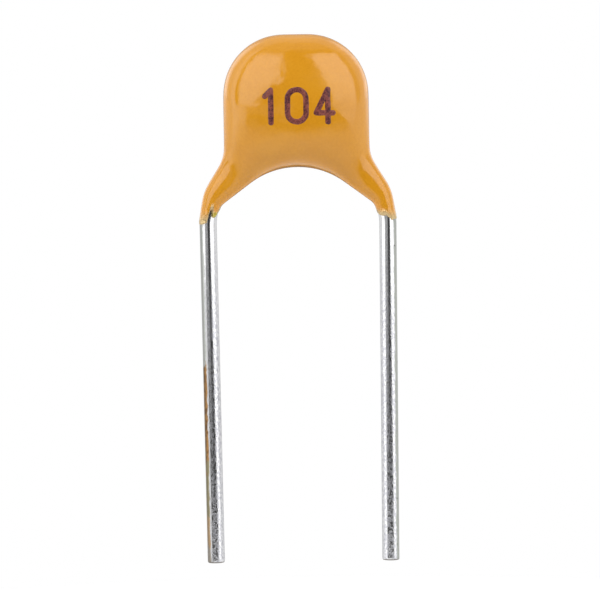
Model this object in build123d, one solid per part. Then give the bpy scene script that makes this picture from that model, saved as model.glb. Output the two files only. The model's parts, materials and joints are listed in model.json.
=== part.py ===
# Dipped radial ceramic capacitor: a multilayer chip between two bent wire leads, in a coat of epoxy.
# Millimetres. The origin is midway between the leads in the board's top plane, where the coat stops on them.
# +X runs from the left lead to the right one, +Y from the marked front to the back, and +Z up into the body.

from build123d import *

import math
import os

# Leads: tinned wire, spread from the chip's ends to the board's hole pitch
lead_pitch = 5.08
lead_diameter = 0.48
lead_length = 9.6
lead_toe_in_deg = 0.44
lead_knee_z = 0.42
lead_knee_radius = 1.8
lead_shoulder_drop = 0.515
lead_shoulder_radius = 0.6
lead_top_overrun = 0.06
lead_cut_chamfer = 0.03

# Ceramic chip and the electrode plates fired into it
chip_length = 2.0
chip_height = 1.25
chip_depth = 1.25
chip_centre_z = 3.4
chip_edge_radius = 0.1
plates_per_side = 8
plate_thickness = 0.02
plate_end_margin = 0.25
plate_side_margin = 0.18
plate_cover = 0.16

# Metal caps on the chip's ends, and the solder that holds each lead to its cap
cap_wall = 0.06
cap_band = 0.4
cap_end_bevel = 0.06
solder_film = 0.03
solder_skin = 0.05
solder_width = 0.95
solder_height = 1.05
solder_grip_deg = 80.0

# Epoxy coat, seen from the front: body, legs along the leads, and the arch between the legs
body_width = 4.11
body_top_z = 5.27
body_corner_radius = 1.7
hip_radius = 1.0
knee_rise = 0.45
knee_radius = 1.2
leg_coat = 0.09
tip_coat = 0.035
tip_z = 0.05
heel_rise = 0.05
heel_coat = 0.053
heel_radius = 0.35
arch_flank_deg = 36.5
arch_radius = 2.2

# Epoxy coat, front to back: a dome over the chip, with oval legs and a blunt rim along the arch. A quarter
# of a section is a curve from an edge to the crest, with handles that are shares of its height and its run.
body_depth = 2.5
leg_rise_share = 0.5523
leg_run_share = 0.70
skin_rise_share = 0.86
skin_run_share = 0.38
rim_rise_share = 0.78
rim_run_share = 0.86

lead_radius = lead_diameter / 2
toe_in = math.radians(lead_toe_in_deg)
chip_top_z = chip_centre_z + chip_height / 2
cap_face_x = chip_length / 2 + cap_wall
solder_foot_z = chip_centre_z - solder_height / 2
lead_top_x = cap_face_x + solder_film + lead_radius
lead_knee_x = lead_pitch / 2 + lead_knee_z * math.tan(toe_in)
lead_shoulder_z = solder_foot_z - lead_shoulder_drop
spread = math.atan2(lead_knee_x - lead_top_x, lead_shoulder_z - lead_knee_z)
lead_knee_sag = lead_knee_radius * (1 / math.cos(spread / 2) - 1)
leg_depth = lead_diameter + 2 * leg_coat

# Rungs of the coat, from just above a leg's tip to the middle of the body: the share along half the outer
# edge, the share along half the arch, the share of the way from leg to body in depth and form, and the share
# of the rung from the outer edge to its crest
rung_shares = [
    (0.030, 0.040, 0.000, 0.50),
    (0.065, 0.090, 0.005, 0.51),
    (0.105, 0.155, 0.012, 0.53),
    (0.145, 0.225, 0.020, 0.55),
    (0.195, 0.320, 0.030, 0.57),
    (0.270, 0.440, 0.060, 0.58),
    (0.335, 0.540, 0.165, 0.57),
    (0.420, 0.640, 0.400, 0.56),
    (0.530, 0.735, 0.630, 0.55),
    (0.650, 0.810, 0.785, 0.55),
    (0.755, 0.865, 0.885, 0.55),
    (0.850, 0.915, 0.950, 0.55),
    (0.935, 0.962, 0.988, 0.56),
    (1.000, 1.000, 1.000, 0.56),
]


def blend(start, end, share):
    return start + (end - start) * share


def mirrored(shape):
    return mirror(shape, about=Plane.YZ)


def make_lead():
    """The right lead: up from its cut end, through the knee, along the spread, and up the chip's end."""
    foot = (lead_pitch / 2 - lead_length * math.tan(toe_in), 0, -lead_length)
    knee = (lead_knee_x, 0, lead_knee_z)
    shoulder = (lead_top_x, 0, lead_shoulder_z)
    top = (lead_top_x, 0, chip_top_z + lead_top_overrun)
    path = FilletPolyline(foot, knee, shoulder, top, radius=[lead_knee_radius, lead_shoulder_radius])
    profile = Plane(origin=foot, z_dir=path % 0) * Circle(lead_radius)
    wire = sweep(profile, path=path)
    cut_end = wire.faces().sort_by(Axis.Z)[0]
    return chamfer(cut_end.edges(), lead_cut_chamfer)


def chip_block(growth=0):
    """The chip's block with its long edges rounded, or the same block grown on every side."""
    block = Box(chip_length + 2 * growth, chip_depth + 2 * growth, chip_height + 2 * growth)
    return Pos(0, 0, chip_centre_z) * fillet(block.edges().filter_by(Axis.X), chip_edge_radius + growth)


def make_plates():
    """The right-hand electrodes: every second film of the stack, run out to the chip's right end."""
    plate_length = chip_length - plate_end_margin
    plate_height = chip_height - 2 * plate_side_margin
    stack_depth = chip_depth - 2 * plate_cover - plate_thickness
    film_pitch = stack_depth / (2 * plates_per_side - 1)
    film = Box(plate_length, plate_thickness, plate_height)
    films = []
    for number in range(plates_per_side):
        film_y = 2 * number * film_pitch - stack_depth / 2
        films.append(Pos(plate_end_margin / 2, film_y, chip_centre_z) * film)
    return Compound(films)


def make_cap(chip):
    """The right end's metal cap: a five-sided shell over the chip's end, bevelled round its face."""
    outside = chip_block(cap_wall)
    outside = chamfer(outside.faces().sort_by(Axis.X)[-1].edges(), cap_end_bevel)
    band_end = Pos(chip_length / 2 - cap_band, 0, chip_centre_z)
    beyond_band = Box(chip_length, body_width, body_width, align=(Align.MIN, Align.CENTER, Align.CENTER))
    return (outside & (band_end * beyond_band)) - chip


def make_solder():
    """The right solder joint: a skin round the lead that flares in a meniscus onto the cap's face."""
    skin_radius = lead_radius + solder_skin
    grip = math.radians(solder_grip_deg)
    grip_x, grip_y = skin_radius * math.cos(grip), skin_radius * math.sin(grip)
    face_x = cap_face_x - lead_top_x
    back_of_lead = CenterArc((0, 0), skin_radius, -solder_grip_deg, 2 * solder_grip_deg)
    upper = TangentArc((grip_x, grip_y), (face_x, solder_width / 2), tangent=(-grip_y, grip_x))
    lower = TangentArc((grip_x, -grip_y), (face_x, -solder_width / 2), tangent=(-grip_y, -grip_x))
    on_cap = Line(upper @ 1, lower @ 1)
    section = make_face([back_of_lead, upper, on_cap, lower]) - Circle(lead_radius)
    joint = extrude(section, solder_height)
    return Pos(lead_top_x, 0, solder_foot_z) * joint


def coat_outline():
    """The coat's outer edge from the left leg's tip over the body to the right leg's tip."""
    over_lead = lead_radius + leg_coat
    slope = math.tan(spread)
    line_x = lead_knee_x + over_lead * math.cos(spread)
    line_z = lead_knee_z + over_lead * math.sin(spread)
    knee_z = lead_knee_z + knee_rise
    half_width = body_width / 2
    right = [
        (half_width, 0, body_top_z),
        (half_width, 0, line_z + (line_x - half_width) / slope),
        (line_x - (knee_z - line_z) * slope, 0, knee_z),
        (lead_pitch / 2 + lead_radius + tip_coat, 0, tip_z),
    ]
    left = [(-x, y, z) for x, y, z in reversed(right)]
    turns = [knee_radius, hip_radius, body_corner_radius]
    return FilletPolyline(*left, *right, radius=turns + turns[::-1])


def arch_outline():
    """The coat's inner edge: up the inside of the left leg, over the arch, and down the right leg."""
    heel_x = lead_knee_x - (lead_radius + lead_knee_sag) / math.cos(spread / 2) - heel_coat
    heel_z = lead_knee_z + heel_rise
    peak_z = heel_z + heel_x * math.tan(math.radians(arch_flank_deg))
    right = [(heel_x, 0, heel_z), (lead_pitch / 2 - lead_radius - tip_coat, 0, tip_z)]
    left = [(-x, y, z) for x, y, z in reversed(right)]
    return FilletPolyline(*left, (0, 0, peak_z), *right, radius=[heel_radius, arch_radius, heel_radius])


def coat_rung(skin, rim, half_depth, body_share, crest_share):
    """One section of the coat, on the plane through a point of its outer edge and a point of the arch.

    It is a flattened oval on a leg, where the body share is 0, and has the body's own form where that is 1.
    """
    span = skin - rim
    to_skin = span.length * crest_share
    crest_x = span.length - to_skin
    skin_rise = half_depth * blend(leg_rise_share, skin_rise_share, body_share)
    skin_run = to_skin * blend(leg_run_share, skin_run_share, body_share)
    rim_rise = half_depth * blend(leg_rise_share, rim_rise_share, body_share)
    rim_run = crest_x * blend(leg_run_share, rim_run_share, body_share)
    crest = (crest_x, half_depth)
    outside = [(span.length, 0), (span.length, skin_rise), (crest_x + skin_run, half_depth), crest]
    inside = [crest, (crest_x - rim_run, half_depth), (0, rim_rise), (0, 0)]
    back = [outside, inside]
    front = [[(x, -y) for x, y in reversed(quarter)] for quarter in reversed(back)]
    plane = Plane(origin=rim, x_dir=span, z_dir=span.cross(Vector(0, 1, 0)))
    return plane * make_face([Bezier(*quarter) for quarter in back + front])


def coat_half():
    """The coat's sections from the left leg's tip to the middle of the body."""
    outline, arch = coat_outline(), arch_outline()
    rungs = [coat_rung(outline @ 0, arch @ 0, lead_radius + tip_coat, 0, 1 / 2)]
    for skin_share, arch_share, body_share, crest_share in rung_shares:
        half_depth = blend(leg_depth, body_depth, body_share) / 2
        skin, rim = outline @ (skin_share / 2), arch @ (arch_share / 2)
        rungs.append(coat_rung(skin, rim, half_depth, body_share, crest_share))
    return rungs


def make_coat(contents):
    """The dipped epoxy, lofted like a horseshoe from one leg's tip to the other, round its contents."""
    half = coat_half()
    other_half = [mirrored(rung) for rung in reversed(half[:-1])]
    return loft(half + other_half) - contents


def main():
    plates = make_plates()
    left_plates = Rot(0, 0, 180) * plates
    chip = chip_block()
    cap, solder, lead = make_cap(chip), make_solder(), make_lead()
    nodes = {
        "ceramic_chip": chip - list(plates.solids()) - list(left_plates.solids()),
        "left_electrodes": left_plates,
        "right_electrodes": plates,
        "left_termination": mirrored(cap),
        "right_termination": cap,
        "left_solder": mirrored(solder),
        "right_solder": solder,
        "left_lead": mirrored(lead),
        "right_lead": lead,
    }
    contents = [chip, cap, solder, lead, mirrored(cap), mirrored(solder), mirrored(lead)]
    nodes["epoxy_coating"] = make_coat(contents)
    os.makedirs("parts", exist_ok=True)
    for name, shape in nodes.items():
        export_step(shape, f"parts/{name}.step")


main()
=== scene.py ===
import json
import math

import bmesh
import bpy
from mathutils import Matrix, Vector, geometry, noise
from mathutils.bvhtree import BVHTree


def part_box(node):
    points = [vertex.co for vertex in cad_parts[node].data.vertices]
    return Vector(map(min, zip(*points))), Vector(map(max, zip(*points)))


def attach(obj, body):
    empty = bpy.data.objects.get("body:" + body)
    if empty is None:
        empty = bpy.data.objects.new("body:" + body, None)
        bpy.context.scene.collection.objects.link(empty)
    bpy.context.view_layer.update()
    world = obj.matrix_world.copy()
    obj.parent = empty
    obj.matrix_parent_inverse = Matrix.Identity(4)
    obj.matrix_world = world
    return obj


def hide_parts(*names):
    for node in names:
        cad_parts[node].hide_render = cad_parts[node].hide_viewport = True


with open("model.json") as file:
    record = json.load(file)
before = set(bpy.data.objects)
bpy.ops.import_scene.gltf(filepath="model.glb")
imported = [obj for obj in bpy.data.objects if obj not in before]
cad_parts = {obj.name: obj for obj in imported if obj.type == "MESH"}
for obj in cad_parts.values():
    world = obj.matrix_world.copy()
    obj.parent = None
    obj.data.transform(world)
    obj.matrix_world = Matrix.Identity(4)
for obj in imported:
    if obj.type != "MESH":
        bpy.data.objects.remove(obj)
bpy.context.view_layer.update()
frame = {"nodes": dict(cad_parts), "record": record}

MM = 0.001

# Leads: the pitch, wire and toe-in come from the frame, the bends are repeated here
mounts = {mount["name"]: mount for mount in frame["record"]["mounts"]}
LEAD_PITCH = mounts["lead_pair"]["dims"]["spacing_x_mm"] * MM
LEAD_RADIUS = mounts["lead_pair"]["dims"]["stud_r_mm"] * MM
LEAD_LEAN = mounts["right_lead_pin"]["axis"][0] / mounts["right_lead_pin"]["axis"][2]
LEAD_FOOT_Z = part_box("right_lead")[0].z
LEAD_TOP_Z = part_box("right_lead")[1].z
LEAD_TOP_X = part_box("right_lead")[0].x + LEAD_RADIUS
LEAD_KNEE_Z = 0.42 * MM
LEAD_KNEE_X = LEAD_PITCH / 2 + LEAD_KNEE_Z * LEAD_LEAN
LEAD_KNEE_RADIUS = 1.8 * MM
LEAD_SHOULDER_Z = 2.36 * MM
LEAD_SHOULDER_RADIUS = 0.6 * MM
LEAD_SPREAD = math.atan2(LEAD_KNEE_X - LEAD_TOP_X, LEAD_SHOULDER_Z - LEAD_KNEE_Z)
LEAD_CUT_ROUND = 0.035 * MM
LEAD_CUT_RUN = 0.07 * MM
LEAD_SIDES = 48
LEAD_BEND_STEPS = 12
LEAD_SEEK = 0.001 * MM

# Coat seen from the front
COAT_TOP_Z = 5.27 * MM
COAT_HALF_WIDTH = 2.055 * MM
COAT_CORNER_RADIUS = 1.7 * MM
HIP_RADIUS = 1.0 * MM
KNEE_RISE = 0.45 * MM
KNEE_RADIUS = 1.2 * MM
LEG_COAT = 0.09 * MM
TIP_COAT = 0.014 * MM
TIP_Z = 0.05 * MM
HEEL_RISE = 0.05 * MM
HEEL_COAT = 0.053 * MM
HEEL_RADIUS = 0.35 * MM
ARCH_FLANK = math.radians(36.5)
ARCH_RADIUS = 2.2 * MM

# Coat from front to back: half depths, and the handles of a section's curves as shares of its rise and run
BODY_HALF_DEPTH = 1.25 * MM
LEG_HALF_DEPTH = LEAD_RADIUS + LEG_COAT
LEG_RISE_SHARE = 0.5523
LEG_RUN_SHARE = 0.70
SKIN_RISE_SHARE = 0.86
SKIN_RUN_SHARE = 0.38
RIM_RISE_SHARE = 0.78
RIM_RUN_SHARE = 0.86

# Rungs of the coat from a leg's tip to the middle of the body: the share along half the outer edge, along
# half the arch, from leg to body depth, and from the outer edge to the crest
RUNG_SHARES = (
    (0.000, 0.000, 0.000, 0.50),
    (0.030, 0.040, 0.000, 0.50),
    (0.065, 0.090, 0.005, 0.51),
    (0.105, 0.155, 0.012, 0.53),
    (0.145, 0.225, 0.020, 0.55),
    (0.195, 0.320, 0.030, 0.57),
    (0.270, 0.440, 0.060, 0.58),
    (0.335, 0.540, 0.165, 0.57),
    (0.420, 0.640, 0.400, 0.56),
    (0.530, 0.735, 0.630, 0.55),
    (0.650, 0.810, 0.785, 0.55),
    (0.755, 0.865, 0.885, 0.55),
    (0.850, 0.915, 0.950, 0.55),
    (0.935, 0.962, 0.988, 0.56),
    (1.000, 1.000, 1.000, 0.56),
)
RUNG_QUARTER = 36
RUNG_SIDES = 4 * RUNG_QUARTER
LOOPS_PER_RUNG = 3

# Ragged ends of the coat: height in millimetres by the angle round the wire, 0 outside and 90 in front
LEFT_END = ((0, -0.03), (50, -0.03), (72, -0.015), (82, 0.0), (85, 0.05), (87.5, 0.25), (90, 0.385),
            (103, 0.40), (107, 0.35), (111, 0.25), (119, 0.19), (130, 0.17), (141, 0.19), (148, 0.26),
            (154, 0.35), (162, 0.385), (180, 0.40), (225, 0.30), (270, 0.12), (315, 0.02))
RIGHT_END = ((0, 0.05), (38, 0.042), (54, 0.02), (63, -0.014), (72, 0.042), (86, 0.105), (97, 0.155),
             (107, 0.155), (120, 0.145), (144, 0.165), (165, 0.205), (180, 0.245), (225, 0.2), (270, 0.08),
             (315, 0.06))
RAGGED_RUNGS = 5
RAGGED_LOOPS = 14
RAGGED_EASE = 1.5
RUNGS_BELOW_TIP = 4
FINE_STEPS = 40

# Bead along a ragged end: its root as a share of the wire's radius, its least thickness, and its hang
BEAD_LOOPS = 4
BEAD_ROOT_SHARE = 0.85
BEAD_LEAST = 0.01 * MM
BEAD_HANG_SHARE = 0.5

# Thin film of the coat above its ragged ends, and the droplet on the left one
FILM_FADE = 0.28 * MM
FILM_FOOT_Z = -0.04 * MM
FILM_RISE = 0.60 * MM
DROP_PLACE = (-2.375 * MM, -0.20 * MM, 0.22 * MM)
DROP_RADIUS = 0.13 * MM
DROP_CORE_RADIUS = 0.08 * MM

# Printed number: its size and height on the body, the ink, and the digits as measured from its middle
INK_HEIGHT = 1.045 * MM
INK_STROKE = 0.155 * MM
INK_FILM = 0.010 * MM
INK_CENTRE_Z = 3.14 * MM
INK_WOBBLE = 0.008 * MM
INK_WOBBLE_SIZE = 0.12 * MM
INK_MERGE = 0.0005 * MM
INK_CAST_Y = -10.0 * MM
INK_CAP_SIDES = 24
INK_SIDES = 16
INK_TURN_STEPS = 20
INK_CUTS = 12
ONE_X = -0.70 * MM
ONE_FLAG = 0.16 * MM
ZERO_X = 0.02 * MM
ZERO_HALF_WIDTH = 0.257 * MM
FOUR_STEM_X = 0.88 * MM
FOUR_LEFT_X = 0.56 * MM
FOUR_RIGHT_X = 1.02 * MM
FOUR_BAR_Z = -0.20 * MM

# Wear on the leads, and painted shade at the cut end: heights between which the tin turns grainy and hazy,
# depths between which stains end, the painted shade of a dark rim over the cut end, and shares of the wire's
# radius
WORN_Z = (0.5 * MM, -3.5 * MM)
HAZE_Z = (-0.8 * MM, -2.2 * MM)
STAIN_END_Y = (0.18 * MM, 0.02 * MM)
# painted shade: heights between which the rim over the cut end darkens
CUT_SHADE_Z = (LEAD_FOOT_Z + 0.045 * MM, LEAD_FOOT_Z + 0.025 * MM)
HAZE_START_SHARE = 0.12
HAZE_FULL_SHARE = 0.34
STAIN_FADE_SHARE = 0.14
STAIN_WANDER_SHARE = 0.06

# Stain down the left lead's outer side: the heights at which each tone starts and is full
STAIN_TAN_Z = (-4.0 * MM, -4.4 * MM)
STAIN_OLIVE_Z = (-6.7 * MM, -7.0 * MM)
STAIN_PALE_TAN_Z = (-7.9 * MM, -8.2 * MM)
STAIN_GREY_BROWN_Z = (-8.8 * MM, -9.1 * MM)
STAIN_SHIFT = 0.4 * MM

# Camera, square on to the marked face
LENS = 120.0
SENSOR = 36.0
VIEW_WIDTH = 16.95 * MM
VIEW_CENTRE_X = 0.02 * MM
VIEW_CENTRE_Z = -2.23 * MM
VIEW_ROLL = math.radians(0.96)
CLIP_START = 1.0 * MM

# Floor, with its glow to the camera, to a reflection and to the part, and the two lamps
FLOOR_DROP = 6.0 * MM
FLOOR_RADIUS = 40.0 * MM
FLOOR_SIDES = 96
FLOOR_SEEN_GLOW = 0.45
FLOOR_MIRRORED_GLOW = 0.16
FLOOR_SPREAD_GLOW = 0.28
LAMP_DISTANCE = 60.0 * MM
LAMP_BEARING = 39.5
LAMP_WIDTH = 65.0 * MM
LAMP_BOTTOM_Z = 24.0 * MM
LAMP_TOP_Z = 108.0 * MM
LAMP_RADIANCE = 3.05

# Room that reflections show, where a light of 1 is white. Places are degrees of bearing, 0 towards the
# camera and above 0 to its right, or of rise over the horizon. Two give where a part starts and where it is
# full, and four give where it starts, is full, fades and ends. A lean is the bearing that a border gains for
# each degree of rise.
AHEAD_BEARING = (100, 88)
LOW_RISE = (5, 3)
DARK_LIGHT = 0.05
GREY_LIGHT = 0.42
GREY_TURN = (-2, -8)
GREY_RISE = (-6, 1, 3, 5)
WALL_LIGHT = 1.5
LEFT_WALL_TURN = (-72, -78)
LEFT_LOW_WALL_TURN = (-44, -49)
LEFT_LOW_WALL_LEAN = 0.5
RIGHT_LOW_WALL_TURN = (28, 33)
RIGHT_LOW_WALL_LEAN = -2.2
RIGHT_WALL_LIGHT = 1.0
RIGHT_UPPER_WALL_LIGHT = 0.4
RIGHT_WALL_TURN = (70, 78)
WINDOW_LIGHT = 2.0
LEFT_WINDOW_TURN = (-68, -60, -13, -7)
LEFT_WINDOW_FOOT = (3.5, 6.5)
LEFT_WINDOW_TOP = (68, 48)
LEFT_SILL_TURN = -45.0
LEFT_SILL_POWER = 3.0
LEFT_SILL_SHARE = 0.0005
RIGHT_WINDOW_NEAR = (26, 32)
RIGHT_WINDOW_LEAN = -0.33
RIGHT_WINDOW_FAR = (76, 70)
RIGHT_WINDOW_RISE = (1, 6, 54, 60)
OVERHEAD_LIGHT = 0.5
OVERHEAD_RISE = (60, 70)
TABLE_LIGHT = 0.85
TABLE_RISE = (-6, -20)
BACK_LIGHT = 0.82
BACK_STRIP_LIGHT = 0.12
BACK_UPPER_STRIP_LIGHT = 0.5
BACK_UPPER_STRIP_RISE = (2.5, 5)
BACK_STRIP_BEARING = (154, 164)
BACK_STRIP_TOP = (55, 40)
BACK_WINDOW_LIGHT = 1.6
BACK_WINDOW_BEARING = (122, 128, 150, 156)
BACK_WINDOW_RISE = (4, 9, 48, 58)

# Light that the room sheds on the part, by bearing and rise in the same way
FILL_FRONT_LIGHT = 0.06
FILL_BACK_LIGHT = 0.75
FILL_BACK_BEARING = (60, 100)
FILL_SIDE_LIGHT = 1.75
FILL_SIDE_BEARING = (60, 90, 120, 145)
FILL_SIDE_TOP = (45, 10)
FILL_ABOVE_LIGHT = 0.15
FILL_ABOVE_RISE = (25, 60)


def blend(start, end, share):
    return start + (end - start) * share


# Paths in the plane of the leads

def rounded_path(corners, radii):
    """Straight runs joined by tangent arcs, each piece as its length, start, heading and curvature."""
    pieces = []
    start = Vector(corners[0])
    for corner, after, radius in zip(corners[1:], corners[2:], radii):
        arriving = Vector(corner) - start
        leaving = Vector(after) - Vector(corner)
        heading = math.atan2(arriving.y, arriving.x)
        turn = math.atan2(arriving.x * leaving.y - arriving.y * leaving.x, arriving.dot(leaving))
        setback = radius * math.tan(abs(turn) / 2)
        run = arriving.length - setback
        pieces.append((run, start, heading, 0.0))
        arc_start = start + arriving.normalized() * run
        pieces.append((radius * abs(turn), arc_start, heading, math.copysign(1 / radius, turn)))
        start = Vector(corner) + leaving.normalized() * setback
    last = Vector(corners[-1]) - start
    pieces.append((last.length, start, math.atan2(last.y, last.x), 0.0))
    return pieces


def path_length(path):
    return sum(piece[0] for piece in path)


def point_on(path, distance):
    """The point at a distance along a path."""
    for length, start, heading, curvature in path[:-1]:
        if distance <= length:
            break
        distance -= length
    else:
        length, start, heading, curvature = path[-1]
    if curvature == 0:
        return start + distance * Vector((math.cos(heading), math.sin(heading)))
    later = heading + curvature * distance
    swing = Vector((math.sin(later) - math.sin(heading), math.cos(heading) - math.cos(later)))
    return start + swing / curvature


def lead_path():
    """The right lead's centre line, from its cut end to its top."""
    foot = (LEAD_PITCH / 2 + LEAD_FOOT_Z * LEAD_LEAN, LEAD_FOOT_Z)
    knee = (LEAD_KNEE_X, LEAD_KNEE_Z)
    shoulder = (LEAD_TOP_X, LEAD_SHOULDER_Z)
    top = (LEAD_TOP_X, LEAD_TOP_Z)
    return rounded_path([foot, knee, shoulder, top], [LEAD_KNEE_RADIUS, LEAD_SHOULDER_RADIUS])


def skin_path():
    """Half the coat's outer edge, from the right leg's tip to the middle of the top."""
    over_lead = LEAD_RADIUS + LEG_COAT
    line_x = LEAD_KNEE_X + over_lead * math.cos(LEAD_SPREAD)
    line_z = LEAD_KNEE_Z + over_lead * math.sin(LEAD_SPREAD)
    knee_z = LEAD_KNEE_Z + KNEE_RISE
    slope = math.tan(LEAD_SPREAD)
    corners = [
        (LEAD_PITCH / 2 + LEAD_RADIUS + TIP_COAT, TIP_Z),
        (line_x - (knee_z - line_z) * slope, knee_z),
        (COAT_HALF_WIDTH, line_z + (line_x - COAT_HALF_WIDTH) / slope),
        (COAT_HALF_WIDTH, COAT_TOP_Z),
        (0, COAT_TOP_Z),
    ]
    return rounded_path(corners, [KNEE_RADIUS, HIP_RADIUS, COAT_CORNER_RADIUS])


def arch_path():
    """The coat's inner edge, from the right leg's tip over the arch to the left leg's tip."""
    sag = LEAD_KNEE_RADIUS * (1 / math.cos(LEAD_SPREAD / 2) - 1)
    heel_x = LEAD_KNEE_X - (LEAD_RADIUS + sag) / math.cos(LEAD_SPREAD / 2) - HEEL_COAT
    heel_z = LEAD_KNEE_Z + HEEL_RISE
    peak_z = heel_z + heel_x * math.tan(ARCH_FLANK)
    tip_x = LEAD_PITCH / 2 - LEAD_RADIUS - TIP_COAT
    corners = [(tip_x, TIP_Z), (heel_x, heel_z), (0, peak_z), (-heel_x, heel_z), (-tip_x, TIP_Z)]
    return rounded_path(corners, [HEEL_RADIUS, ARCH_RADIUS, HEEL_RADIUS])


# Mesh helpers

def new_piece(name, bm, material, slot, *replaced):
    """Makes an object of a bmesh, smooth, on the body, and standing for the nodes it replaces."""
    mesh = bpy.data.meshes.new(name)
    bmesh.ops.recalc_face_normals(bm, faces=bm.faces)
    for face in bm.faces:
        face.smooth = True
    bm.to_mesh(mesh)
    bm.free()
    piece = bpy.data.objects.new(name, mesh)
    bpy.context.scene.collection.objects.link(piece)
    mesh.materials.append(material)
    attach(piece, "root")
    if replaced:
        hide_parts(*replaced)
    return piece


def smooth_more(piece, levels):
    rounding = piece.modifiers.new("rounding", "SUBSURF")
    rounding.levels = levels
    rounding.render_levels = levels


# Coat

def rung_row(place):
    """The rung table read at any place between its rows, on a smooth curve through them."""
    index = min(max(int(place), 0), len(RUNG_SHARES) - 2)
    share = place - index
    rows = [RUNG_SHARES[min(max(index + step, 0), len(RUNG_SHARES) - 1)] for step in (-1, 0, 1, 2)]
    row = []
    for before, start, end, after in zip(*rows):
        leave, arrive = (end - before) / 2, (after - start) / 2
        if index == 0:
            leave = end - start
        square, cube = share ** 2, share ** 3
        row.append((2 * cube - 3 * square + 1) * start + (cube - 2 * square + share) * leave
                   + (3 * square - 2 * cube) * end + (cube - square) * arrive)
    return row


def rung_loop(place, skin, arch):
    """One section of the right half of the coat, as points round it from the outer edge over the front.

    At places under 0 it is the leg's tip moved straight down.
    """
    below = min(place, 0)
    skin_share, arch_share, depth_share, crest_share = rung_row(max(place, 0))
    outer = point_on(skin, skin_share * path_length(skin))
    inner = point_on(arch, arch_share * path_length(arch) / 2)
    span = outer - inner
    half_depth = blend(LEG_HALF_DEPTH, BODY_HALF_DEPTH, depth_share)
    tip_share = max(0, 1 - max(place, 0))
    half_depth = blend(half_depth, LEAD_RADIUS + TIP_COAT, tip_share)
    to_crest = crest_share * span.length
    crest = span.length - to_crest
    skin_rise = half_depth * blend(LEG_RISE_SHARE, SKIN_RISE_SHARE, depth_share)
    skin_run = to_crest * blend(LEG_RUN_SHARE, SKIN_RUN_SHARE, depth_share)
    rim_rise = half_depth * blend(LEG_RISE_SHARE, RIM_RISE_SHARE, depth_share)
    rim_run = crest * blend(LEG_RUN_SHARE, RIM_RUN_SHARE, depth_share)

    def placed(along, depth):
        spot = inner + span * (along / span.length)
        return Vector((spot.x, -depth, spot.y + below * TIP_Z))

    outside = (placed(span.length, 0), placed(span.length, skin_rise),
               placed(crest + skin_run, half_depth), placed(crest, half_depth))
    inside = (placed(crest, half_depth), placed(crest - rim_run, half_depth),
              placed(0, rim_rise), placed(0, 0))
    front = geometry.interpolate_bezier(*outside, RUNG_QUARTER + 1)[:-1]
    front += geometry.interpolate_bezier(*inside, RUNG_QUARTER + 1)
    back = [Vector((point.x, -point.y, point.z)) for point in reversed(front[1:-1])]
    return front + back


def end_height(profile, angle):
    """The height of a coat's ragged end at an angle round the wire, eased between the given points."""
    points = list(profile) + [(profile[0][0] + 360, profile[0][1])]
    for (start, low), (end, high) in zip(points, points[1:]):
        if start <= angle <= end:
            share = (angle - start) / (end - start)
            return blend(low, high, share * share * (3 - 2 * share)) * MM
    return profile[0][1] * MM


def lead_centre(lead, height):
    """The X of the lead's centre line at a height near the coat's end."""
    low, high = 0.0, path_length(lead)
    while high - low > LEAD_SEEK:
        middle = (low + high) / 2
        if point_on(lead, middle).y < height:
            low = middle
        else:
            high = middle
    return point_on(lead, low).x


def ragged_columns(profile, skin, arch, lead):
    """Lines up the right leg's end, one for each side of a rung, and where on each the coat starts."""
    tip = RUNGS_BELOW_TIP * FINE_STEPS
    steps = range(-tip, RAGGED_RUNGS * FINE_STEPS + 1)
    fine = [rung_loop(step / FINE_STEPS, skin, arch) for step in steps]
    columns, starts = [], []
    for side in range(RUNG_SIDES):
        column = [loop[side] for loop in fine]
        foot = column[tip]
        angle = math.degrees(math.atan2(-foot.y, foot.x - lead_centre(lead, foot.z))) % 360
        height = end_height(profile, angle)
        first = next(index for index, point in enumerate(column) if point.z >= height)
        below, above = column[first - 1].z, column[first].z
        columns.append(column)
        starts.append(first - 1 + (height - below) / (above - below))
    return columns, starts


def bead_loops(edge, lead):
    """Loops that round off a ragged edge, from its skin down into the wire."""
    beads = []
    for step in range(1, BEAD_LOOPS + 1):
        turn = math.pi * step / (BEAD_LOOPS + 1)
        loop = []
        for point in edge:
            centre = Vector((lead_centre(lead, point.z), 0, point.z))
            outward = point - centre
            film = max(outward.length - BEAD_ROOT_SHARE * LEAD_RADIUS, BEAD_LEAST)
            reach = outward.length - film * (1 - math.cos(turn)) / 2
            spot = centre + outward.normalized() * reach
            spot.z -= BEAD_HANG_SHARE * film * math.sin(turn)
            loop.append(spot)
        beads.append(loop)
    return beads


def leg_loops(profile, skin, arch, lead):
    """Loops of the right leg's end, from inside the wire, round its ragged edge, to a whole rung."""
    columns, starts = ragged_columns(profile, skin, arch, lead)
    loops = []
    for ring in range(RAGGED_LOOPS + 1):
        share = (ring / RAGGED_LOOPS) ** RAGGED_EASE
        loop = []
        for column, start in zip(columns, starts):
            place = blend(start, len(column) - 1, share)
            index = min(int(place), len(column) - 2)
            loop.append(column[index].lerp(column[index + 1], place - index))
        loops.append(loop)
    return bead_loops(loops[0], lead)[::-1] + loops


def mirrored(loop):
    return [Vector((-point.x, point.y, point.z)) for point in loop]


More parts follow.
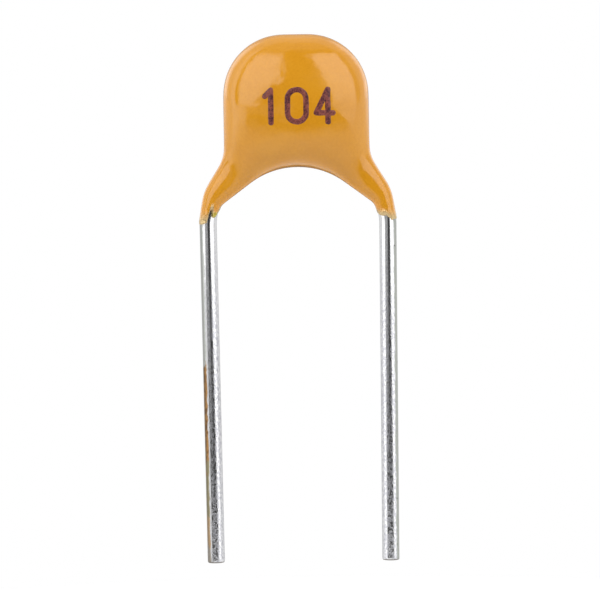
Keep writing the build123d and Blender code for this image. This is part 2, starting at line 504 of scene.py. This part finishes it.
def make_coat(material):
    """The coat, grown ring by ring from the left leg's end over the body to the right leg's end."""
    skin, arch, lead = skin_path(), arch_path(), lead_path()
    last = len(RUNG_SHARES) - 1
    body = []
    for step in range(1, (last - RAGGED_RUNGS) * LOOPS_PER_RUNG + 1):
        body.append(rung_loop(RAGGED_RUNGS + step / LOOPS_PER_RUNG, skin, arch))
    left_leg = [mirrored(loop) for loop in leg_loops(LEFT_END, skin, arch, lead)]
    left_body = [mirrored(loop) for loop in body[:-1]]
    right_leg = leg_loops(RIGHT_END, skin, arch, lead)
    loops = left_leg + left_body + body[::-1] + right_leg[::-1]

    bm = bmesh.new()
    turn = bm.verts.layers.int.new("turn")
    film = bm.verts.layers.float.new("film")
    ring = bmesh.ops.create_circle(bm, segments=RUNG_SIDES, radius=LEAD_RADIUS)["verts"]
    for number, vertex in enumerate(ring):
        vertex[turn] = number
    edges = list(bm.edges)
    ends = (left_leg[BEAD_LOOPS], right_leg[BEAD_LOOPS])
    for count, loop in enumerate(loops):
        if count > 0:
            grown = bmesh.ops.extrude_edge_only(bm, edges=edges)["geom"]
            ring = [item for item in grown if isinstance(item, bmesh.types.BMVert)]
            edges = [item for item in grown if isinstance(item, bmesh.types.BMEdge)]
        for vertex in ring:
            number = vertex[turn]
            vertex.co = loop[number]
            end = ends[0 if vertex.co.x < 0 else 1][number]
            reach = min((vertex.co - end).length / FILM_FADE, (vertex.co.z - FILM_FOOT_Z) / FILM_RISE)
            vertex[film] = min(max(1 - reach, 0), 1)
    bmesh.ops.holes_fill(bm, edges=[edge for edge in bm.edges if edge.is_boundary], sides=0)
    coat = new_piece("coat", bm, material, "epoxy", "epoxy_coating")
    smooth_more(coat, 1)
    return coat


# Leads

def make_lead(name, side, material):
    """A lead swept from its cut end: straight, round the knee, along the spread, and up the chip's end."""
    bm = bmesh.new()
    path = lead_path()
    length, start, heading, curvature = path[0]
    upward = Vector((math.cos(heading), 0, math.sin(heading)))
    stand = Matrix.Translation((start.x, 0, start.y)) @ upward.to_track_quat("Z", "Y").to_matrix().to_4x4()
    bmesh.ops.create_circle(bm, cap_ends=True, segments=LEAD_SIDES, radius=LEAD_RADIUS, matrix=stand)
    cut_edges = list(bm.edges)
    edges = cut_edges
    path[:1] = [(LEAD_CUT_RUN, start, heading, 0.0), (length - LEAD_CUT_RUN, start, heading, 0.0)]
    for length, start, heading, curvature in path:
        if curvature == 0:
            grown = bmesh.ops.extrude_edge_only(bm, edges=edges)["geom"]
            moved = [item for item in grown if isinstance(item, bmesh.types.BMVert)]
            run = length * Vector((math.cos(heading), 0, math.sin(heading)))
            bmesh.ops.translate(bm, verts=moved, vec=run)
        else:
            aside = Vector((-math.sin(heading), 0, math.cos(heading))) / curvature
            centre = Vector((start.x, 0, start.y)) + aside
            corner = list(dict.fromkeys(vertex for edge in edges for vertex in edge.verts))
            grown = bmesh.ops.spin(bm, geom=edges + corner, cent=centre, axis=(0, -1, 0),
                                   angle=length * curvature, steps=LEAD_BEND_STEPS)["geom_last"]
        edges = [item for item in grown if isinstance(item, bmesh.types.BMEdge)]
    bmesh.ops.holes_fill(bm, edges=edges, sides=0)
    bmesh.ops.bevel(bm, geom=cut_edges, offset=LEAD_CUT_ROUND, affect="EDGES", segments=3, profile=0.5,
                    material=-1)
    bmesh.ops.scale(bm, verts=bm.verts, vec=(side, 1, 1))
    return new_piece(name, bm, material, "tinned_wire", name)


# Printed number

def ink_capsule(bm, start, end):
    """A straight stroke with round ends, lying flat in the X-Z plane."""
    start, end = Vector((start[0], 0, start[1])), Vector((end[0], 0, end[1]))
    made = bmesh.ops.create_uvsphere(bm, u_segments=INK_CAP_SIDES, v_segments=INK_SIDES,
                                     radius=INK_STROKE / 2)["verts"]
    along = (end - start).normalized()
    for vertex in made:
        if vertex.co.z > 0:
            vertex.co.z += (end - start).length
    turn = Vector((0, 0, 1)).rotation_difference(along).to_matrix().to_4x4()
    bmesh.ops.transform(bm, verts=made, matrix=Matrix.Translation(start) @ turn)


def ink_oval(bm, centre, half_width, half_height):
    """A closed stroke: half a turn, a straight side, half a turn and the other side."""
    straight = half_height - half_width
    profile = Matrix.Translation((centre[0] + half_width, 0, centre[1] + straight))
    ring = bmesh.ops.create_circle(bm, segments=INK_SIDES, radius=INK_STROKE / 2, matrix=profile)["verts"]
    edges = list(dict.fromkeys(edge for vertex in ring for edge in vertex.link_edges))
    for top in (1, -1):
        pivot = (centre[0], 0, centre[1] + top * straight)
        corner = list(dict.fromkeys(vertex for edge in edges for vertex in edge.verts))
        spun = bmesh.ops.spin(bm, geom=edges + corner, cent=pivot, axis=(0, -1, 0), angle=math.pi,
                              steps=INK_TURN_STEPS)["geom_last"]
        edges = [item for item in spun if isinstance(item, bmesh.types.BMEdge)]
        grown = bmesh.ops.extrude_edge_only(bm, edges=edges)["geom"]
        moved = [item for item in grown if isinstance(item, bmesh.types.BMVert)]
        edges = [item for item in grown if isinstance(item, bmesh.types.BMEdge)]
        bmesh.ops.translate(bm, verts=moved, vec=(0, 0, -2 * top * straight))


def make_print(material, coat):
    """The number, as strokes of ink laid flat and then let down onto the coat's front."""
    bm = bmesh.new()
    half = INK_HEIGHT / 2 - INK_STROKE / 2
    ink_capsule(bm, (ONE_X, -half), (ONE_X, half))
    ink_capsule(bm, (ONE_X - ONE_FLAG, half - ONE_FLAG), (ONE_X, half))
    ink_oval(bm, (ZERO_X, 0), ZERO_HALF_WIDTH, half)
    ink_capsule(bm, (FOUR_STEM_X, half), (FOUR_STEM_X, -half))
    ink_capsule(bm, (FOUR_STEM_X, half), (FOUR_LEFT_X, FOUR_BAR_Z))
    ink_capsule(bm, (FOUR_LEFT_X, FOUR_BAR_Z), (FOUR_RIGHT_X, FOUR_BAR_Z))
    bmesh.ops.remove_doubles(bm, verts=bm.verts, dist=INK_MERGE)
    long_edges = [edge for edge in bm.edges if edge.calc_length() > INK_STROKE / 2]
    bmesh.ops.subdivide_edges(bm, edges=long_edges, cuts=INK_CUTS, use_grid_fill=True)
    flat = Matrix.Diagonal((1, INK_FILM / (INK_STROKE / 2), 1, 1))
    bmesh.ops.transform(bm, verts=bm.verts, matrix=flat)

    graph = bpy.context.evaluated_depsgraph_get()
    front = BVHTree.FromObject(coat, graph)
    for vertex in bm.verts:
        x, z = vertex.co.x, vertex.co.z + INK_CENTRE_Z
        wobble = noise.noise_vector(Vector((x, 0, z)) / INK_WOBBLE_SIZE) * INK_WOBBLE
        hit = front.ray_cast(Vector((x, INK_CAST_Y, z)), Vector((0, 1, 0)))[0]
        vertex.co = Vector((x + wobble.x, hit.y + vertex.co.y, z + wobble.z))
    return new_piece("printed_number", bm, material, "epoxy")


# Node helpers for the finishes and the room

def new_node(tree, kind, inputs=None, **settings):
    """A node with its settings, and with each given input linked or set."""
    made = tree.nodes.new(kind)
    for name, value in settings.items():
        setattr(made, name, value)
    for name, value in (inputs or {}).items():
        if isinstance(value, bpy.types.NodeSocket):
            tree.links.new(value, made.inputs[name])
        else:
            made.inputs[name].default_value = value
    return made


def math_node(tree, operation, first, second=0.0):
    return new_node(tree, "ShaderNodeMath", {0: first, 1: second}, operation=operation).outputs[0]


def both(tree, first, second):
    return math_node(tree, "MULTIPLY", first, second)


def either(tree, first, second):
    return math_node(tree, "MAXIMUM", first, second)


def map_range(tree, value, low, high, to_low=0.0, to_high=1.0):
    """A value eased from one range to another."""
    inputs = {"Value": value, "From Min": low, "From Max": high, "To Min": to_low, "To Max": to_high}
    return new_node(tree, "ShaderNodeMapRange", inputs, interpolation_type="SMOOTHSTEP").outputs[0]


def band(tree, value, start, full, fade, end):
    """1 between two borders of a value, eased to 0 across each of them."""
    return both(tree, map_range(tree, value, start, full), map_range(tree, value, end, fade))


def mix_value(tree, share, first, second):
    return new_node(tree, "ShaderNodeMix", {0: share, 2: first, 3: second}).outputs[0]


def mix_colour(tree, share, first, second):
    made = new_node(tree, "ShaderNodeMix", {0: share}, data_type="RGBA")
    for socket, value in ((made.inputs[6], first), (made.inputs[7], second)):
        if isinstance(value, bpy.types.NodeSocket):
            tree.links.new(value, socket)
        else:
            socket.default_value = (*value, 1)
    return made.outputs[2]


def noise_value(tree, where, scale, detail, roughness=0.5):
    inputs = {"Vector": where, "Scale": scale, "Detail": detail, "Roughness": roughness}
    return new_node(tree, "ShaderNodeTexNoise", inputs).outputs[0]


def object_place(tree):
    return new_node(tree, "ShaderNodeTexCoord").outputs["Object"]


def new_group(name, inputs, outputs):
    group = bpy.data.node_groups.new(name, "ShaderNodeTree")
    for label, kind in inputs:
        group.interface.new_socket(label, in_out="INPUT", socket_type=kind)
    for label, kind in outputs:
        group.interface.new_socket(label, in_out="OUTPUT", socket_type=kind)
    return group, group.nodes.new("NodeGroupInput"), group.nodes.new("NodeGroupOutput")


def mottle_group():
    """Cloudy change from one colour to another, with a finer speckle over it."""
    sockets = [("First", "NodeSocketColor"), ("Second", "NodeSocketColor"), ("Cloud", "NodeSocketFloat"),
               ("Speckle", "NodeSocketFloat")]
    group, given, result = new_group("mottle", sockets, [("Colour", "NodeSocketColor")])
    where = object_place(group)
    cloud = noise_value(group, where, given.outputs["Cloud"], 2.0)
    speckle = noise_value(group, where, given.outputs["Speckle"], 3.0, 0.6)
    share = map_range(group, math_node(group, "ADD", cloud, speckle), 0.75, 1.25)
    colour = mix_colour(group, share, given.outputs["First"], given.outputs["Second"])
    group.links.new(colour, result.inputs["Colour"])
    return group


def grain_group():
    """Streaks along the wire and pits between them, as a height, with a mask of the pits."""
    sockets = [("Streak", "NodeSocketFloat"), ("Stretch", "NodeSocketFloat"), ("Pit", "NodeSocketFloat")]
    group, given, result = new_group("metal_grain", sockets,
                                     [("Height", "NodeSocketFloat"), ("Pits", "NodeSocketFloat")])
    across, depth, height = new_node(group, "ShaderNodeSeparateXYZ", {0: object_place(group)}).outputs
    drawn = both(group, height, given.outputs["Stretch"])
    along = new_node(group, "ShaderNodeCombineXYZ", {0: across, 1: depth, 2: drawn}).outputs[0]
    streak = noise_value(group, along, given.outputs["Streak"], 3.0)
    pits = map_range(group, noise_value(group, along, given.outputs["Pit"], 2.0, 0.65), 0.58, 0.42)
    group.links.new(math_node(group, "SUBTRACT", streak, pits), result.inputs["Height"])
    group.links.new(pits, result.inputs["Pits"])
    return group


def use_group(tree, group, **inputs):
    return new_node(tree, "ShaderNodeGroup", inputs, node_tree=group)


def new_finish(name):
    material = bpy.data.materials.new(name)
    material.use_nodes = True
    tree = material.node_tree
    return material, tree, tree.nodes["Principled BSDF"]


def roughen(tree, shader, height, distance):
    bump = new_node(tree, "ShaderNodeBump", {"Height": height, "Distance": distance, "Strength": 1.0})
    tree.links.new(bump.outputs[0], shader.inputs["Normal"])


# Finishes

def epoxy_finish(mottle):
    """Glossy ochre epoxy, barely wavy, that thins to amber at its ends on the wires."""
    material, tree, shader = new_finish("ochre_epoxy")
    where = object_place(tree)
    body = use_group(tree, mottle, First=(0.70, 0.290, 0.010, 1), Second=(0.75, 0.325, 0.015, 1),
                     Cloud=900.0, Speckle=14000.0)
    film = new_node(tree, "ShaderNodeAttribute", attribute_name="film").outputs["Fac"]
    thin = map_range(tree, film, 0.35, 0.95)
    colour = mix_colour(tree, thin, body.outputs[0], (0.67, 0.49, 0.24))
    apart = new_node(tree, "ShaderNodeVectorMath", {0: where, 1: DROP_PLACE}, operation="DISTANCE")
    drop = map_range(tree, apart.outputs["Value"], DROP_RADIUS, DROP_CORE_RADIUS)
    tree.links.new(mix_colour(tree, drop, colour, (0.52, 0.43, 0.05)), shader.inputs["Base Color"])
    tree.links.new(both(tree, thin, 0.5), shader.inputs["Metallic"])
    wave = noise_value(tree, where, 1300.0, 2.0)
    tree.links.new(map_range(tree, wave, 0.3, 0.7, 0.11, 0.17), shader.inputs["Roughness"])
    shader.inputs["IOR"].default_value = 1.56
    shader.inputs["Specular IOR Level"].default_value = 0.6
    wrinkle = both(tree, noise_value(tree, where, 6500.0, 1.0), both(tree, thin, 1.6))
    roughen(tree, shader, math_node(tree, "ADD", wave, wrinkle), 0.03 * MM)
    return material


def tin_finish(name, grain, stain, inner_share, haze_share):
    """Tinned wire: bright at the top, grainier towards the cut end, stained down its outer side, with
    painted shade as a dark rim over the cut end.
    """
    material, tree, shader = new_finish(name)
    where = object_place(tree)
    across, depth, height = new_node(tree, "ShaderNodeSeparateXYZ", {0: where}).outputs
    worn = map_range(tree, height, *WORN_Z, 0.15, 1.0)
    marks = use_group(tree, grain, Streak=14000.0, Stretch=0.5, Pit=20000.0)
    pits = both(tree, marks.outputs["Pits"], worn)
    bright = mix_colour(tree, pits, (0.83, 0.83, 0.84), (0.60, 0.60, 0.64))

    centre = math_node(tree, "ADD", both(tree, height, LEAD_LEAN), LEAD_PITCH / 2)
    outward = math_node(tree, "SUBTRACT", math_node(tree, "ABSOLUTE", across), centre)
    reach = STAIN_WANDER_SHARE * LEAD_RADIUS
    wander = map_range(tree, noise_value(tree, where, 4000.0, 2.0), 0.3, 0.7, -reach, reach)
    strayed = math_node(tree, "ADD", outward, wander)
    front = map_range(tree, depth, *STAIN_END_Y)
    aside = map_range(tree, strayed, HAZE_START_SHARE * LEAD_RADIUS, HAZE_FULL_SHARE * LEAD_RADIUS)
    haze = both(tree, aside, map_range(tree, height, *HAZE_Z, 0.0, haze_share))
    hazed = mix_colour(tree, both(tree, haze, front), bright, (0.46, 0.46, 0.47))
    full_share = inner_share + STAIN_FADE_SHARE
    edge = map_range(tree, strayed, inner_share * LEAD_RADIUS, full_share * LEAD_RADIUS)
    colour = mix_colour(tree, both(tree, edge, front), hazed, stain(tree, height))
    # painted shade: the bevel over the cut end is darkened in its colour to stand in for the shade along its
    # rim
    cut = map_range(tree, height, *CUT_SHADE_Z)
    tree.links.new(mix_colour(tree, cut, colour, (0.22, 0.20, 0.18)), shader.inputs["Base Color"])

    shader.inputs["Metallic"].default_value = 1.0
    tree.links.new(map_range(tree, pits, 0.0, 1.0, 0.11, 0.27), shader.inputs["Roughness"])
    roughen(tree, shader, both(tree, marks.outputs["Height"], worn), 0.0009 * MM)
    return material


def grey_stain(tree, height):
    """A dull grey with a few dark specks, alike at every height."""
    speck = map_range(tree, noise_value(tree, object_place(tree), 9000.0, 1.0), 0.70, 0.78)
    return mix_colour(tree, speck, (0.50, 0.52, 0.48), (0.06, 0.06, 0.05))


def brown_stain(tree, height):
    """Grey at the top, then blotchy tan, then olive, then tan again and grey brown at the cut end."""
    where = object_place(tree)
    shift = map_range(tree, noise_value(tree, where, 3000.0, 3.0), 0.3, 0.7, -STAIN_SHIFT, STAIN_SHIFT)
    level = math_node(tree, "ADD", height, shift)
    blotch = map_range(tree, noise_value(tree, where, 7000.0, 2.0), 0.42, 0.60)
    tan = mix_colour(tree, blotch, (0.31, 0.17, 0.065), (0.16, 0.085, 0.035))
    tones = (
        (STAIN_TAN_Z, tan),
        (STAIN_OLIVE_Z, (0.25, 0.22, 0.13)),
        (STAIN_PALE_TAN_Z, (0.37, 0.26, 0.15)),
        (STAIN_GREY_BROWN_Z, (0.30, 0.27, 0.23)),
    )
    colour = (0.42, 0.43, 0.41)
    for heights, tone in tones:
        colour = mix_colour(tree, map_range(tree, level, *heights), colour, tone)
    return colour


def ink_finish(mottle):
    """Purple-brown ink, unevenly thick."""
    material, tree, shader = new_finish("purple_brown_ink")
    ink = use_group(tree, mottle, First=(0.05, 0.008, 0.014, 1), Second=(0.27, 0.075, 0.055, 1),
                    Cloud=6000.0, Speckle=24000.0)
    tree.links.new(ink.outputs[0], shader.inputs["Base Color"])
    shader.inputs["Roughness"].default_value = 0.4
    return material


def ceramic_finish(mottle):
    """Dull brown fired ceramic."""
    material, tree, shader = new_finish("fired_ceramic")
    fired = use_group(tree, mottle, First=(0.36, 0.25, 0.16, 1), Second=(0.47, 0.34, 0.23, 1),
                      Cloud=3000.0, Speckle=25000.0)
    tree.links.new(fired.outputs[0], shader.inputs["Base Color"])
    shader.inputs["Roughness"].default_value = 0.65
    return material


def inner_metal_finish(name, grain, colour, pitted, rough):
    """A grainy metal of the pieces inside the coat."""
    material, tree, shader = new_finish(name)
    marks = use_group(tree, grain, Streak=12000.0, Stretch=1.0, Pit=20000.0)
    tree.links.new(mix_colour(tree, marks.outputs["Pits"], colour, pitted), shader.inputs["Base Color"])
    shader.inputs["Metallic"].default_value = 1.0
    shader.inputs["Roughness"].default_value = rough
    roughen(tree, shader, marks.outputs["Height"], 0.004 * MM)
    return material


# Studio

def make_camera():
    camera = bpy.data.objects.new("camera", bpy.data.cameras.new("camera"))
    camera.data.lens = LENS
    camera.data.sensor_width = SENSOR
    camera.data.clip_start = CLIP_START
    camera.location = (VIEW_CENTRE_X, -VIEW_WIDTH * LENS / SENSOR, VIEW_CENTRE_Z)
    camera.rotation_euler = (math.pi / 2, VIEW_ROLL, 0)
    bpy.context.scene.collection.objects.link(camera)
    bpy.context.scene.camera = camera


def make_floor():
    """A white round floor well below the leads, with a glow that keeps it white to the camera."""
    bm = bmesh.new()
    bmesh.ops.create_circle(bm, cap_ends=True, segments=FLOOR_SIDES, radius=FLOOR_RADIUS)
    bmesh.ops.translate(bm, verts=bm.verts, vec=(0, 0, LEAD_FOOT_Z - FLOOR_DROP))
    mesh = bpy.data.meshes.new("floor")
    bm.to_mesh(mesh)
    bm.free()
    floor = bpy.data.objects.new("floor", mesh)
    bpy.context.scene.collection.objects.link(floor)
    material, tree, shader = new_finish("white_floor")
    shader.inputs["Base Color"].default_value = (0.9, 0.9, 0.9, 1)
    shader.inputs["Roughness"].default_value = 0.9
    shader.inputs["Emission Color"].default_value = (1, 1, 1, 1)
    rays = new_node(tree, "ShaderNodeLightPath").outputs
    seen = either(tree, rays["Is Camera Ray"], rays["Is Transmission Ray"])
    glow = mix_value(tree, seen, FLOOR_SPREAD_GLOW, FLOOR_SEEN_GLOW)
    glow = mix_value(tree, rays["Is Glossy Ray"], glow, FLOOR_MIRRORED_GLOW)
    tree.links.new(glow, shader.inputs["Emission Strength"])
    mesh.materials.append(material)


def leaning(tree, turn, rise, lean):
    """The bearing measured from a line that leans over with the rise."""
    return math_node(tree, "SUBTRACT", turn, both(tree, rise, lean))


def room_walls(tree, turn, rise):
    """Ahead of the part: a dark middle, grey to the left at eye level, between white walls."""
    low = map_range(tree, rise, *LOW_RISE)
    grey = both(tree, map_range(tree, turn, *GREY_TURN), band(tree, rise, *GREY_RISE))
    dark = map_range(tree, grey, 0.0, 1.0, DARK_LIGHT, GREY_LIGHT)
    right_low = map_range(tree, leaning(tree, turn, rise, RIGHT_LOW_WALL_LEAN), *RIGHT_LOW_WALL_TURN)
    left_low = map_range(tree, leaning(tree, turn, rise, LEFT_LOW_WALL_LEAN), *LEFT_LOW_WALL_TURN)
    low_walls = both(tree, either(tree, right_low, left_low), low)
    walls = either(tree, low_walls, map_range(tree, turn, *LEFT_WALL_TURN))
    right_light = map_range(tree, low, 0.0, 1.0, RIGHT_UPPER_WALL_LIGHT, RIGHT_WALL_LIGHT)
    light = mix_value(tree, walls, dark, WALL_LIGHT)
    return mix_value(tree, map_range(tree, turn, *RIGHT_WALL_TURN), light, right_light)


def room_windows(tree, turn, rise):
    """A mask of the two windows ahead of the part, the left one on a sill that rises towards the middle."""
    inward = either(tree, math_node(tree, "SUBTRACT", turn, LEFT_SILL_TURN), 0.0)
    sill = both(tree, math_node(tree, "POWER", inward, LEFT_SILL_POWER), LEFT_SILL_SHARE)
    left_foot = map_range(tree, math_node(tree, "SUBTRACT", rise, sill), *LEFT_WINDOW_FOOT)
    left_ends = both(tree, left_foot, map_range(tree, rise, *LEFT_WINDOW_TOP))
    left = both(tree, band(tree, turn, *LEFT_WINDOW_TURN), left_ends)
    right_near = map_range(tree, leaning(tree, turn, rise, RIGHT_WINDOW_LEAN), *RIGHT_WINDOW_NEAR)
    right_sides = both(tree, right_near, map_range(tree, turn, *RIGHT_WINDOW_FAR))
    right = both(tree, right_sides, band(tree, rise, *RIGHT_WINDOW_RISE))
    return either(tree, left, right)


def room_ahead(tree, turn, rise):
    """The camera's side of the room: walls and windows, with a dim ceiling and a pale table."""
    light = mix_value(tree, room_windows(tree, turn, rise), room_walls(tree, turn, rise), WINDOW_LIGHT)
    light = mix_value(tree, map_range(tree, rise, *OVERHEAD_RISE), light, OVERHEAD_LIGHT)
    return mix_value(tree, map_range(tree, rise, *TABLE_RISE), light, TABLE_LIGHT)


def room_behind(tree, bearing, rise):
    """The far side of the room: pale, with a window on each side of a dark strip."""
    strip = both(tree, map_range(tree, bearing, *BACK_STRIP_BEARING), map_range(tree, rise, *BACK_STRIP_TOP))
    strip_light = map_range(tree, rise, *BACK_UPPER_STRIP_RISE, BACK_STRIP_LIGHT, BACK_UPPER_STRIP_LIGHT)
    light = mix_value(tree, strip, BACK_LIGHT, strip_light)
    window = both(tree, band(tree, bearing, *BACK_WINDOW_BEARING), band(tree, rise, *BACK_WINDOW_RISE))
    return mix_value(tree, window, light, BACK_WINDOW_LIGHT)


def room_fill(tree, bearing, rise):
    """The light that the room sheds on the part: most from the sides, least from the front and above."""
    around = map_range(tree, bearing, *FILL_BACK_BEARING, FILL_FRONT_LIGHT, FILL_BACK_LIGHT)
    sides = both(tree, band(tree, bearing, *FILL_SIDE_BEARING), map_range(tree, rise, *FILL_SIDE_TOP))
    light = mix_value(tree, sides, around, FILL_SIDE_LIGHT)
    return mix_value(tree, map_range(tree, rise, *FILL_ABOVE_RISE), light, FILL_ABOVE_LIGHT)


def make_world():
    """White to the camera, a room to reflections, and a soft fill to everything else."""
    world = bpy.data.worlds.new("studio")
    bpy.context.scene.world = world
    world.use_nodes = True
    tree = world.node_tree
    way = new_node(tree, "ShaderNodeTexCoord").outputs["Generated"]
    rightward, away, upward = new_node(tree, "ShaderNodeSeparateXYZ", {0: way}).outputs
    towards = math_node(tree, "MULTIPLY", away, -1.0)
    turn = math_node(tree, "DEGREES", math_node(tree, "ARCTAN2", rightward, towards))
    rise = math_node(tree, "DEGREES", math_node(tree, "ARCSINE", upward))
    bearing = math_node(tree, "ABSOLUTE", turn)
    ahead = map_range(tree, bearing, *AHEAD_BEARING)
    room = mix_value(tree, ahead, room_behind(tree, bearing, rise), room_ahead(tree, turn, rise))
    rays = new_node(tree, "ShaderNodeLightPath").outputs
    seen = either(tree, rays["Is Camera Ray"], rays["Is Transmission Ray"])
    light = mix_value(tree, seen, room_fill(tree, bearing, rise), 1.0)
    light = mix_value(tree, rays["Is Glossy Ray"], light, room)
    tree.links.new(light, tree.nodes["Background"].inputs["Strength"])
    tree.nodes["Background"].inputs["Color"].default_value = (1, 1, 1, 1)


def make_lamp(name, bearing):
    """An upright area lamp that faces the part, placed by its bearing from the camera."""
    lamp = bpy.data.lights.new(name, "AREA")
    lamp.shape = "RECTANGLE"
    lamp.size = LAMP_WIDTH
    lamp.size_y = LAMP_TOP_Z - LAMP_BOTTOM_Z
    lamp.energy = LAMP_RADIANCE * math.pi * lamp.size * lamp.size_y
    panel = bpy.data.objects.new(name, lamp)
    away = Vector((math.sin(math.radians(bearing)), -math.cos(math.radians(bearing)), 0))
    panel.location = away * LAMP_DISTANCE + Vector((0, 0, (LAMP_BOTTOM_Z + LAMP_TOP_Z) / 2))
    panel.rotation_euler = away.to_track_quat("Z", "Y").to_euler()
    panel.visible_camera = False
    panel.visible_glossy = False
    bpy.context.scene.collection.objects.link(panel)


# Whole part

mottle, grain = mottle_group(), grain_group()
coat = make_coat(epoxy_finish(mottle))
make_lead("left_lead", -1, tin_finish("tarnished_tin", grain, brown_stain, inner_share=0.50, haze_share=0.9))
make_lead("right_lead", 1, tin_finish("dulled_tin", grain, grey_stain, inner_share=0.58, haze_share=0.0))
make_print(ink_finish(mottle), coat)

inner_finishes = {
    "ceramic_chip": ceramic_finish(mottle),
    "electrodes": inner_metal_finish("nickel_film", grain, (0.60, 0.57, 0.52), (0.45, 0.42, 0.38), 0.4),
    "termination": inner_metal_finish("plated_cap", grain, (0.78, 0.77, 0.75), (0.60, 0.59, 0.57), 0.3),
    "solder": inner_metal_finish("solder", grain, (0.72, 0.72, 0.73), (0.52, 0.52, 0.54), 0.35),
}
for name, node in frame["nodes"].items():
    for ending, finish in inner_finishes.items():
        if name.endswith(ending):
            node.data.materials.clear()
            node.data.materials.append(finish)

make_camera()
make_floor()
make_world()
make_lamp("left_lamp", -LAMP_BEARING)
make_lamp("right_lamp", LAMP_BEARING)
bpy.context.scene.view_settings.view_transform = "Standard"
